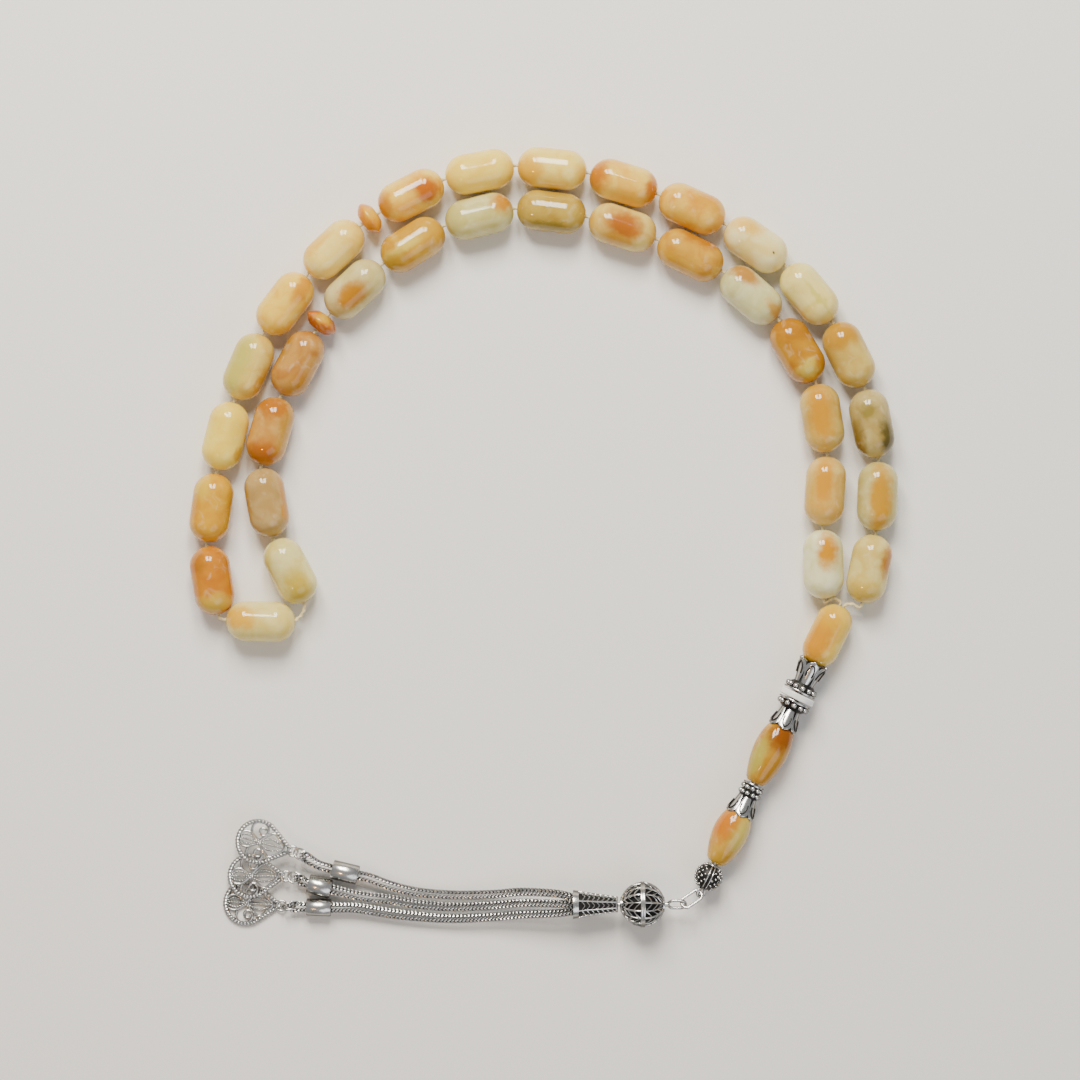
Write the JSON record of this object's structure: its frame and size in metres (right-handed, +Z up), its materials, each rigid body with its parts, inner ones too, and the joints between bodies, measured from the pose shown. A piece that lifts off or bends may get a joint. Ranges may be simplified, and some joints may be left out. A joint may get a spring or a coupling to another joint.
{
  "type": "prayer beads",
  "caption": "Misbaha of polished translucent capsule beads on one cord, with two dividers, a capped neck and a silver tassel of ball, cone, chains and filigree drops.",
  "frame": {"origin": "centre of the bounding box, on the surface that the beads lie on", "axes": "+Z up from that surface, +Y from the tassel towards the top of the arc, -X along the tassel"},
  "size_m": [0.1384, 0.1526, 0.0089],
  "materials": {
    "bead_stone": "polished translucent honey and cream stone",
    "divider_stone": "polished translucent amber stone",
    "cord": "fine twisted cord",
    "white_ring": "glossy white",
    "polished_silver": "polished silver",
    "oxidised_silver": "silver with dark oxidised recesses"
  },
  "bodies": {
    "neck": {"cord": "cord", "crown_cap": "oxidised_silver", "petal_cap": "oxidised_silver", "waist_cap": "oxidised_silver", "knot_cover": "oxidised_silver"},
    "bead_01": {"bead_01": "bead_stone"},
    "bead_02": {"bead_02": "bead_stone"},
    "bead_03": {"bead_03": "bead_stone"},
    "bead_04": {"bead_04": "bead_stone"},
    "bead_05": {"bead_05": "bead_stone"},
    "bead_06": {"bead_06": "bead_stone"},
    "bead_07": {"bead_07": "bead_stone"},
    "bead_08": {"bead_08": "bead_stone"},
    "bead_09": {"bead_09": "bead_stone"},
    "bead_10": {"bead_10": "bead_stone"},
    "bead_11": {"bead_11": "bead_stone"},
    "bead_12": {"bead_12": "bead_stone"},
    "bead_13": {"bead_13": "bead_stone"},
    "bead_14": {"bead_14": "bead_stone"},
    "bead_15": {"bead_15": "bead_stone"},
    "bead_16": {"bead_16": "bead_stone"},
    "bead_17": {"bead_17": "bead_stone"},
    "bead_18": {"bead_18": "bead_stone"},
    "bead_19": {"bead_19": "bead_stone"},
    "bead_20": {"bead_20": "bead_stone"},
    "bead_21": {"bead_21": "bead_stone"},
    "bead_22": {"bead_22": "bead_stone"},
    "bead_23": {"bead_23": "bead_stone"},
    "bead_24": {"bead_24": "bead_stone"},
    "bead_25": {"bead_25": "bead_stone"},
    "bead_26": {"bead_26": "bead_stone"},
    "bead_27": {"bead_27": "bead_stone"},
    "bead_28": {"bead_28": "bead_stone"},
    "bead_29": {"bead_29": "bead_stone"},
    "bead_30": {"bead_30": "bead_stone"},
    "bead_31": {"bead_31": "bead_stone"},
    "bead_32": {"bead_32": "bead_stone"},
    "bead_33": {"bead_33": "bead_stone"},
    "divider_1": {"divider_1": "divider_stone"},
    "divider_2": {"divider_2": "divider_stone"},
    "neck_bead": {"neck_bead": "bead_stone"},
    "white_ring": {"white_ring": "white_ring"},
    "barrel_bead_1": {"barrel_bead_1": "bead_stone"},
    "barrel_bead_2": {"barrel_bead_2": "bead_stone"},
    "link": {"link": "polished_silver"},
    "tassel": {"tassel_eye": "polished_silver", "cone_cap": "oxidised_silver"},
    "filigree_ball": {"filigree_ball": "oxidised_silver"},
    "chain_1": {"chain_1": "oxidised_silver"},
    "sleeve_1": {"sleeve_1": "polished_silver"},
    "jump_ring_1": {"jump_ring_1": "polished_silver"},
    "drop_1": {"drop_1": "oxidised_silver"},
    "chain_2": {"chain_2": "oxidised_silver"},
    "sleeve_2": {"sleeve_2": "polished_silver"},
    "jump_ring_2": {"jump_ring_2": "polished_silver"},
    "drop_2": {"drop_2": "oxidised_silver"},
    "chain_3": {"chain_3": "oxidised_silver"},
    "sleeve_3": {"sleeve_3": "polished_silver"},
    "jump_ring_3": {"jump_ring_3": "polished_silver"},
    "drop_3": {"drop_3": "oxidised_silver"}
  },
  "joints": [
    {"name": "loop_swing", "type": "hinge", "parent": "neck", "child": "bead_01", "pos_m": [0.05861, -0.01297, 0.0036], "axis": [0, 0, 1], "range_deg": [-15, 10], "deforming": ["cord"]},
    {"name": "tassel_swing", "type": "hinge", "parent": "link", "child": "tassel", "pos_m": [0.02671, -0.07176, 0.0045], "axis": [0, 0, 1], "range_deg": [-15, 20]},
    {"name": "link_swing", "type": "hinge", "parent": "neck", "child": "link", "pos_m": [0.03081, -0.06946, 0.0036], "axis": [0, 0, 1], "range_deg": [-8, 15]},
    {"name": "chain_1_sway", "type": "hinge", "parent": "tassel", "child": "chain_1", "pos_m": [0.00536, -0.07036, 0.0045], "axis": [0, 0, 1], "range_deg": [-12, 0]},
    {"name": "chain_2_sway", "type": "hinge", "parent": "tassel", "child": "chain_2", "pos_m": [0.00536, -0.07176, 0.0045], "axis": [0, 0, 1], "range_deg": [-6, 0]},
    {"name": "chain_3_sway", "type": "hinge", "parent": "tassel", "child": "chain_3", "pos_m": [0.00536, -0.07316, 0.0045], "axis": [0, 0, 1], "range_deg": [0, 12]},
    {"name": "drop_1_swing", "type": "hinge", "parent": "jump_ring_1", "child": "drop_1", "pos_m": [-0.04886, -0.06157, 0.00345], "axis": [0, 0, 1], "range_deg": [-12, 12]},
    {"name": "drop_2_swing", "type": "hinge", "parent": "jump_ring_2", "child": "drop_2", "pos_m": [-0.05028, -0.06652, 0.00215], "axis": [0, 0, 1], "range_deg": [-12, 12]},
    {"name": "drop_3_swing", "type": "hinge", "parent": "jump_ring_3", "child": "drop_3", "pos_m": [-0.05127, -0.07249, 0.00085], "axis": [0, 0, 1], "range_deg": [-12, 12]},
    {"name": "ring_1_swing", "type": "hinge", "parent": "chain_1", "child": "jump_ring_1", "pos_m": [-0.04665, -0.0626, 0.0029], "axis": [0, 0, 1], "range_deg": [-12, 12]},
    {"name": "ring_2_swing", "type": "hinge", "parent": "chain_2", "child": "jump_ring_2", "pos_m": [-0.04785, -0.06704, 0.00185], "axis": [0, 0, 1], "range_deg": [-12, 12]},
    {"name": "ring_3_swing", "type": "hinge", "parent": "chain_3", "child": "jump_ring_3", "pos_m": [-0.04903, -0.07257, 0.00195], "axis": [0, 0, 1], "range_deg": [-4, 12]},
    {"name": "sleeve_1_slide", "type": "slide", "parent": "chain_1", "child": "sleeve_1", "axis": [0.9724, -0.2334, 0], "range_m": [-0.0008, 0.0025]},
    {"name": "sleeve_2_slide", "type": "slide", "parent": "chain_2", "child": "sleeve_2", "axis": [0.9666, -0.2564, 0], "range_m": [0, 0.003]},
    {"name": "sleeve_3_slide", "type": "slide", "parent": "chain_3", "child": "sleeve_3", "axis": [0.9997, -0.0242, -0.0081], "range_m": [0, 0.0025]},
    {"name": "strand_bend_01", "type": "hinge", "parent": "bead_01", "child": "bead_02", "pos_m": [0.05985, 0.00145, 0.00395], "axis": [0, 0, 1], "range_deg": [-3.5, 3.5], "deforming": ["cord"]},
    {"name": "strand_bend_02", "type": "hinge", "parent": "bead_02", "child": "bead_03", "pos_m": [0.0606, 0.01578, 0.00395], "axis": [0, 0, 1], "range_deg": [-3.5, 3.5], "deforming": ["cord"]},
    {"name": "strand_bend_03", "type": "hinge", "parent": "bead_03", "child": "bead_04", "pos_m": [0.05811, 0.02991, 0.00395], "axis": [0, 0, 1], "range_deg": [-3.5, 3.5], "deforming": ["cord"]},
    {"name": "strand_bend_04", "type": "hinge", "parent": "bead_04", "child": "bead_05", "pos_m": [0.05127, 0.04251, 0.00395], "axis": [0, 0, 1], "range_deg": [-3.5, 3.5], "deforming": ["cord"]},
    {"name": "strand_bend_05", "type": "hinge", "parent": "bead_05", "child": "bead_07", "pos_m": [0.03537, 0.05683, 0.00395], "axis": [0, 0, 1], "range_deg": [-3.5, 3.5], "deforming": ["cord"]},
    {"name": "strand_bend_06", "type": "hinge", "parent": "bead_07", "child": "bead_08", "pos_m": [0.02236, 0.06289, 0.00395], "axis": [0, 0, 1], "range_deg": [-3.5, 3.5], "deforming": ["cord"]},
    {"name": "strand_bend_07", "type": "hinge", "parent": "bead_08", "child": "bead_09", "pos_m": [0.00868, 0.06721, 0.00395], "axis": [0, 0, 1], "range_deg": [-3.5, 3.5], "deforming": ["cord"]},
    {"name": "strand_bend_08", "type": "hinge", "parent": "bead_09", "child": "bead_10", "pos_m": [-0.00558, 0.06883, 0.00395], "axis": [0, 0, 1], "range_deg": [-3.5, 3.5], "deforming": ["cord"]},
    {"name": "strand_bend_09", "type": "hinge", "parent": "bead_10", "child": "bead_11", "pos_m": [-0.01958, 0.06573, 0.00395], "axis": [0, 0, 1], "range_deg": [-3.5, 3.5], "deforming": ["cord"]},
    {"name": "strand_bend_10", "type": "hinge", "parent": "bead_11", "child": "bead_12", "pos_m": [-0.0338, 0.05745, 0.00395], "axis": [0, 0, 1], "range_deg": [-3.5, 3.5], "deforming": ["cord"]},
    {"name": "strand_bend_11", "type": "hinge", "parent": "bead_12", "child": "bead_13", "pos_m": [-0.04559, 0.04598, 0.00395], "axis": [0, 0, 1], "range_deg": [-3.5, 3.5], "deforming": ["cord"]},
    {"name": "strand_bend_12", "type": "hinge", "parent": "bead_13", "child": "bead_15", "pos_m": [-0.05608, 0.0273, 0.00395], "axis": [0, 0, 1], "range_deg": [-3.5, 3.5], "deforming": ["cord"]},
    {"name": "strand_bend_13", "type": "hinge", "parent": "bead_15", "child": "bead_16", "pos_m": [-0.05979, 0.01345, 0.00395], "axis": [0, 0, 1], "range_deg": [-3.5, 3.5], "deforming": ["cord"]},
    {"name": "strand_bend_14", "type": "hinge", "parent": "bead_16", "child": "bead_17", "pos_m": [-0.05955, -0.00072, 0.00395], "axis": [0, 0, 1], "range_deg": [-3.5, 3.5], "deforming": ["cord"]},
    {"name": "spin_bead_33", "type": "hinge", "parent": "bead_01", "child": "bead_33", "pos_m": [0.05473, -0.00519, 0.00395], "axis": [-0.0175, 0.9998, 0], "continuous": true},
    {"name": "spin_bead_32", "type": "hinge", "parent": "bead_02", "child": "bead_32", "pos_m": [0.05511, 0.00914, 0.00395], "axis": [0.0698, 0.9976, 0], "continuous": true},
    {"name": "spin_bead_31", "type": "hinge", "parent": "bead_03", "child": "bead_31", "pos_m": [0.05449, 0.02338, 0.00395], "axis": [-0.1564, 0.9877, 0], "continuous": true},
    {"name": "spin_bead_30", "type": "hinge", "parent": "bead_04", "child": "bead_30", "pos_m": [0.04967, 0.03662, 0.00395], "axis": [-0.515, 0.8572, 0], "continuous": true},
    {"name": "spin_bead_29", "type": "hinge", "parent": "bead_05", "child": "bead_29", "pos_m": [0.04056, 0.04748, 0.00395], "axis": [-0.7547, 0.6561, 0], "continuous": true},
    {"name": "spin_bead_28", "type": "hinge", "parent": "bead_07", "child": "bead_28", "pos_m": [0.0287, 0.05533, 0.00395], "axis": [-0.8988, 0.4384, 0], "continuous": true},
    {"name": "spin_bead_27", "type": "hinge", "parent": "bead_08", "child": "bead_27", "pos_m": [0.01542, 0.06069, 0.00395], "axis": [-0.9511, 0.309, 0], "continuous": true},
    {"name": "spin_bead_26", "type": "hinge", "parent": "bead_09", "child": "bead_26", "pos_m": [0.00148, 0.06378, 0.00395], "axis": [-0.9925, 0.1219, 0], "continuous": true},
    {"name": "spin_bead_25", "type": "hinge", "parent": "bead_10", "child": "bead_25", "pos_m": [-0.01261, 0.06292, 0.00395], "axis": [-0.9703, -0.2419, 0], "continuous": true},
    {"name": "spin_bead_24", "type": "hinge", "parent": "bead_11", "child": "bead_24", "pos_m": [-0.02565, 0.05739, 0.00395], "axis": [-0.848, -0.5299, 0], "continuous": true},
    {"name": "spin_bead_23", "type": "hinge", "parent": "bead_12", "child": "bead_23", "pos_m": [-0.03698, 0.04869, 0.00395], "axis": [-0.7314, -0.682, 0], "continuous": true},
    {"name": "spin_bead_22", "type": "hinge", "parent": "bead_13", "child": "bead_22", "pos_m": [-0.04819, 0.03409, 0.00395], "axis": [-0.4695, -0.8829, 0], "continuous": true},
    {"name": "spin_bead_21", "type": "hinge", "parent": "bead_15", "child": "bead_21", "pos_m": [-0.05353, 0.02086, 0.00395], "axis": [-0.2756, -0.9613, 0], "continuous": true},
    {"name": "spin_bead_20", "type": "hinge", "parent": "bead_16", "child": "bead_20", "pos_m": [-0.05427, 0.0069, 0.00395], "axis": [0.1736, -0.9848, 0], "continuous": true},
    {"name": "spin_bead_19", "type": "hinge", "parent": "bead_17", "child": "bead_19", "pos_m": [-0.04965, -0.00651, 0.00395], "axis": [0.4695, -0.8829, 0], "continuous": true},
    {"name": "spin_bead_06", "type": "hinge", "parent": "bead_05", "child": "bead_06", "pos_m": [0.04147, 0.05736, 0.00395], "axis": [-0.8192, 0.5736, 0], "continuous": true},
    {"name": "spin_bead_14", "type": "hinge", "parent": "bead_13", "child": "bead_14", "pos_m": [-0.0578, 0.03346, 0.00395], "axis": [-0.3907, -0.9205, 0], "continuous": true},
    {"name": "spin_bead_18", "type": "hinge", "parent": "bead_17", "child": "bead_18", "pos_m": [-0.05544, -0.01641, 0.00395], "axis": [0.9994, -0.0349, 0], "continuous": true},
    {"name": "spin_divider_1", "type": "hinge", "parent": "bead_11", "child": "divider_1", "pos_m": [-0.03413, 0.06253, 0.00395], "axis": [-0.8192, -0.5736, 0], "continuous": true},
    {"name": "spin_divider_2", "type": "hinge", "parent": "bead_12", "child": "divider_2", "pos_m": [-0.04353, 0.04211, 0.00395], "axis": [-0.6088, -0.7934, 0], "continuous": true},
    {"name": "spin_neck_bead", "type": "hinge", "parent": "neck", "child": "neck_bead", "pos_m": [0.05556, -0.01917, 0.0036], "axis": [0.4415, 0.8973, 0], "continuous": true},
    {"name": "spin_white_ring", "type": "hinge", "parent": "neck", "child": "white_ring", "pos_m": [0.05556, -0.01917, 0.0036], "axis": [0.4415, 0.8973, 0], "continuous": true},
    {"name": "spin_barrel_bead_1", "type": "hinge", "parent": "neck", "child": "barrel_bead_1", "pos_m": [0.05556, -0.01917, 0.0036], "axis": [0.4415, 0.8973, 0], "continuous": true},
    {"name": "spin_barrel_bead_2", "type": "hinge", "parent": "neck", "child": "barrel_bead_2", "pos_m": [0.05556, -0.01917, 0.0036], "axis": [0.4415, 0.8973, 0], "continuous": true},
    {"name": "spin_filigree_ball", "type": "hinge", "parent": "tassel", "child": "filigree_ball", "pos_m": [0.01931, -0.07176, 0.0045], "axis": [-1, 0, 0], "continuous": true}
  ],
  "couplings": [
    {"joint": "chain_2_sway", "follows": "chain_1_sway", "ratio": 0.5}
  ]
}
